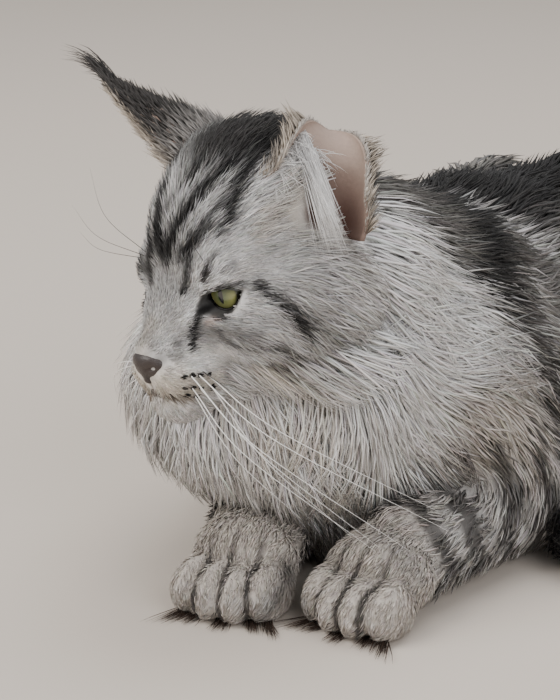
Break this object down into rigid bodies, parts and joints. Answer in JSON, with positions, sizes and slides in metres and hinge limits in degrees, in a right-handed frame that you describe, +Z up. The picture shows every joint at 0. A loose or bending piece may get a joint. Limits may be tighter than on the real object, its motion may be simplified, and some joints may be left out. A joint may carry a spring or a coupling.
{
  "type": "maine coon cat",
  "caption": "Life-size still model of a long-haired tabby cat lying on its chest, forepaws together in front, head turned aside and the tail along its side.",
  "frame": {"origin": "on the floor under the middle of the chest, on the flat underside of the torso", "axes": "+Y towards the rump, so that the cat faces -Y; +X to the cat's left; +Z up"},
  "size_m": [0.3356, 0.5582, 0.251],
  "materials": {
    "silver_coat": "long silver and black tabby hair, soft, with a slight sheen",
    "dark_coat": "long black hair with grey bands",
    "ear": "thin bare skin inside, short grey hair behind",
    "eye": "wet, clear and glossy, yellow-green with a dark upright pupil"
  },
  "bodies": {
    "root": {"head": "silver_coat", "ear_left": "ear", "ear_right": "ear", "eye_left": "eye", "eye_right": "eye", "neck": "silver_coat", "torso": "silver_coat", "foreleg_left": "silver_coat", "foreleg_right": "silver_coat", "forepaw_left": "silver_coat", "forepaw_right": "silver_coat", "hindleg_left": "silver_coat", "hindleg_right": "silver_coat", "hindfoot_left": "silver_coat", "hindfoot_right": "silver_coat", "tail_root": "dark_coat", "tail_bend": "dark_coat", "tail_middle": "dark_coat", "tail_end": "dark_coat", "tail_tip": "dark_coat"}
  },
  "joints": []
}
